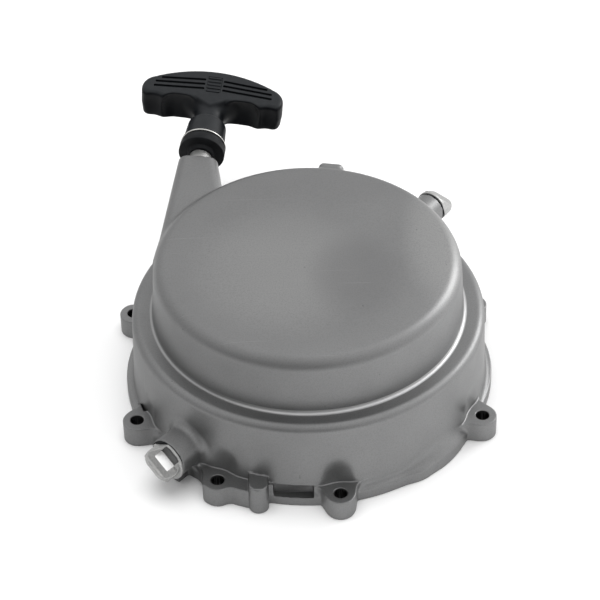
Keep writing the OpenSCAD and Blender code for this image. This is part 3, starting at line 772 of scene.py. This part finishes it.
for name, (angle, pz, end, roll, flange) in PLUGS.items():
    place = (Matrix.Rotation(math.radians(angle), 4, "Z") @ Matrix.Translation((end, 0, pz))
             @ Matrix.Rotation(math.radians(roll), 4, "X"))
    plug = carved("plug_" + name + "_head", lambda a, t, v: plug_shape(a, t, v, flange), (-21, -12.5, -12.5),
                  (13, 12.5, 12.5), 0.34, 90000, place)
    dress(plug_painted_light(plug, place, flange), "machined_alloy", "case", "plug_" + name)

# ---------------------------------------------------------------- rope between neck and handle


ROPE_FROM, ROPE_TO, ROPE_R = -9.0, -1.0, 2.5
ROPE_START, ROPE_END, ROPE_DRAW = -24.0, 5.0, 800.0


def rope_rows():
    """Places along the pull for the rings of the rope, even once the rope is drawn out."""
    fine = np.linspace(ROPE_START, ROPE_END, 4001)
    t = np.clip((fine - ROPE_FROM) / (ROPE_TO - ROPE_FROM), 0, 1)
    drawn = fine + ROPE_DRAW * t * t * (3 - 2 * t)
    rows = 420
    return np.interp(np.linspace(drawn[0], drawn[-1], rows), drawn, fine)


def braided_rope(name, place, around=32):
    rows = rope_rows()
    verts = []
    for i, n in enumerate(rows):
        for k in range(around):
            a = 2 * math.pi * k / around
            weave = math.sin(4 * a + 0.55 * i) * math.sin(4 * a - 0.55 * i)
            r = ROPE_R - 0.12 + 0.12 * weave
            verts.append((r * math.cos(a), r * math.sin(a), n))
    faces = []
    for i in range(len(rows) - 1):
        low, high = i * around, (i + 1) * around
        faces += [[low + k, low + (k + 1) % around, high + (k + 1) % around, high + k] for k in range(around)]
    verts += [(0, 0, rows[0]), (0, 0, rows[-1])]
    last = (len(rows) - 1) * around
    m = np.array(place, float)
    p = np.array(verts) @ m[:3, :3].T + m[:3, 3]
    me = bpy.data.meshes.new(name)
    caps = [[(k + 1) % around, k, len(verts) - 2] for k in range(around)]
    caps += [[last + k, last + (k + 1) % around, len(verts) - 1] for k in range(around)]
    me.from_pydata([tuple(q) for q in p * MM], [], faces + caps)
    me.validate()
    me.polygons.foreach_set("use_smooth", np.ones(len(me.polygons), bool))
    return link(bpy.data.objects.new(name, me))


rope = braided_rope("starter_rope", TURN)
rope.data.materials.append(LOOKS["rope_fibre"])
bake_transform(rope)
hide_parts("rope_pull")

# ---------------------------------------------------------------- carried-over frame pieces

for row in frame["record"]["subparts"]:
    obj = frame["nodes"][row["node"]]
    obj.data.materials.clear()
    obj.data.materials.append(LOOKS[row["material_slot"]])

# ---------------------------------------------------------------- floor, light, camera


def floor_look():
    k = Look("floor_paper", roughness=0.9)
    paper = k.mix(k.span(k.noise(6, 3, 0.5), 0.3, 0.7), (0.90, 0.90, 0.90), (0.92, 0.92, 0.92))
    side = k.span(k.split(k.place)[0], -0.25, 0.5)
    # painted shade in reflections: glossy rays see the floor painted darker, most of all on the left
    k.set("Base Color", k.mix(k.node("LightPath").outputs["Is Glossy Ray"], paper,
                              k.mix(side, (0.60, 0.60, 0.60), (0.92, 0.92, 0.92))))
    glass = k.node("BsdfTransparent")
    mix = k.node("MixShader")
    back = k.node("NewGeometry").outputs["Backfacing"]
    k.t.links.new(back, mix.inputs[0])
    k.t.links.new(k.b.outputs[0], mix.inputs[1])
    k.t.links.new(glass.outputs[0], mix.inputs[2])
    out = next(n for n in k.t.nodes if n.type == "OUTPUT_MATERIAL")
    k.t.links.new(mix.outputs[0], out.inputs["Surface"])
    return k.m


def disc(name, radius, z, segments=96):
    verts = [[radius * math.cos(2 * math.pi * i / segments), radius * math.sin(2 * math.pi * i / segments), z]
             for i in range(segments)] + [[0, 0, z]]
    faces = [[i, (i + 1) % segments, segments] for i in range(segments)]
    return mesh_object(name, verts, faces)


floor = disc("studio_floor", 4.0, -0.0001)
floor.data.materials.append(floor_look())


def soft_box(name, at, aim, size, watts):
    lamp = bpy.data.lights.new(name, "AREA")
    lamp.shape = "RECTANGLE"
    lamp.size, lamp.size_y = size
    lamp.energy = watts
    obj = link(bpy.data.objects.new(name, lamp))
    obj.location = at
    obj.rotation_mode = "QUATERNION"
    obj.rotation_quaternion = (Vector(aim) - Vector(at)).to_track_quat("-Z", "Y")
    return obj


top = soft_box("top_softbox", (-0.1, -0.1, 1.9), (0, 0, 0), (1.5, 1.5), 22)
top.visible_glossy = False
soft_box("right_softbox", (1.25, 0.75, 0.75), (0.05, 0, 0.05), (0.5, 1.0), 7)


def studio():
    """Soft surroundings: dim in front, brighter overhead, behind and to the right. The camera sees plain white."""
    world = bpy.data.worlds.new("studio")
    bpy.context.scene.world = world
    world.use_nodes = True
    t = world.node_tree
    t.nodes.clear()

    def node(kind, **props):
        n = t.nodes.new("ShaderNode" + kind)
        for key, v in props.items():
            setattr(n, key, v)
        return n

    def calc(op, a, b, clamp=False):
        n = node("Math", operation=op, use_clamp=clamp)
        for socket, v in zip(n.inputs, (a, b)):
            if isinstance(v, bpy.types.NodeSocket):
                t.links.new(v, socket)
            else:
                socket.default_value = v
        return n.outputs[0]

    split = node("SeparateXYZ")
    t.links.new(node("TexCoord").outputs["Generated"], split.inputs[0])
    x, y, z = split.outputs
    value = calc("ADD", 0.34, calc("MULTIPLY", calc("MAXIMUM", z, 0.0), 0.50))
    value = calc("ADD", value, calc("MULTIPLY", y, 0.22))
    value = calc("ADD", value, calc("MULTIPLY", calc("MAXIMUM", x, 0.0), 0.50))
    value = calc("ADD", value, calc("MULTIPLY", calc("MAXIMUM", calc("MULTIPLY", x, -1.0), 0.0), 0.10))
    value = calc("MAXIMUM", value, 0.08)
    tint = node("CombineColor")
    for socket in tint.inputs[:3]:
        t.links.new(value, socket)
    lit, seen, mix = node("Background"), node("Background"), node("MixShader")
    t.links.new(tint.outputs[0], lit.inputs[0])
    seen.inputs[0].default_value = (1, 1, 1, 1)
    t.links.new(node("LightPath").outputs["Is Camera Ray"], mix.inputs[0])
    t.links.new(lit.outputs[0], mix.inputs[1])
    t.links.new(seen.outputs[0], mix.inputs[2])
    t.links.new(mix.outputs[0], node("OutputWorld").inputs[0])


studio()

scene = bpy.context.scene
scene.view_settings.view_transform = "Standard"
cam_data = bpy.data.cameras.new("camera")
cam = link(bpy.data.objects.new("camera", cam_data))
cam_data.lens = 144.5
cam_data.sensor_width = 36
cam_data.clip_start, cam_data.clip_end = 0.05, 20
eye = Vector((-0.004235, -0.9575, 0.8938))
forward = (Vector((-0.004235, 0, 0.05549)) - eye).normalized()
right = forward.cross(Vector((0, 0, 1))).normalized()
up = right.cross(forward)
lean = math.radians(-1.296)
right, up = right * math.cos(lean) + up * math.sin(lean), up * math.cos(lean) - right * math.sin(lean)
cam.matrix_world = Matrix(((right.x, up.x, -forward.x, eye.x), (right.y, up.y, -forward.y, eye.y),
                           (right.z, up.z, -forward.z, eye.z), (0, 0, 0, 1)))
scene.camera = cam
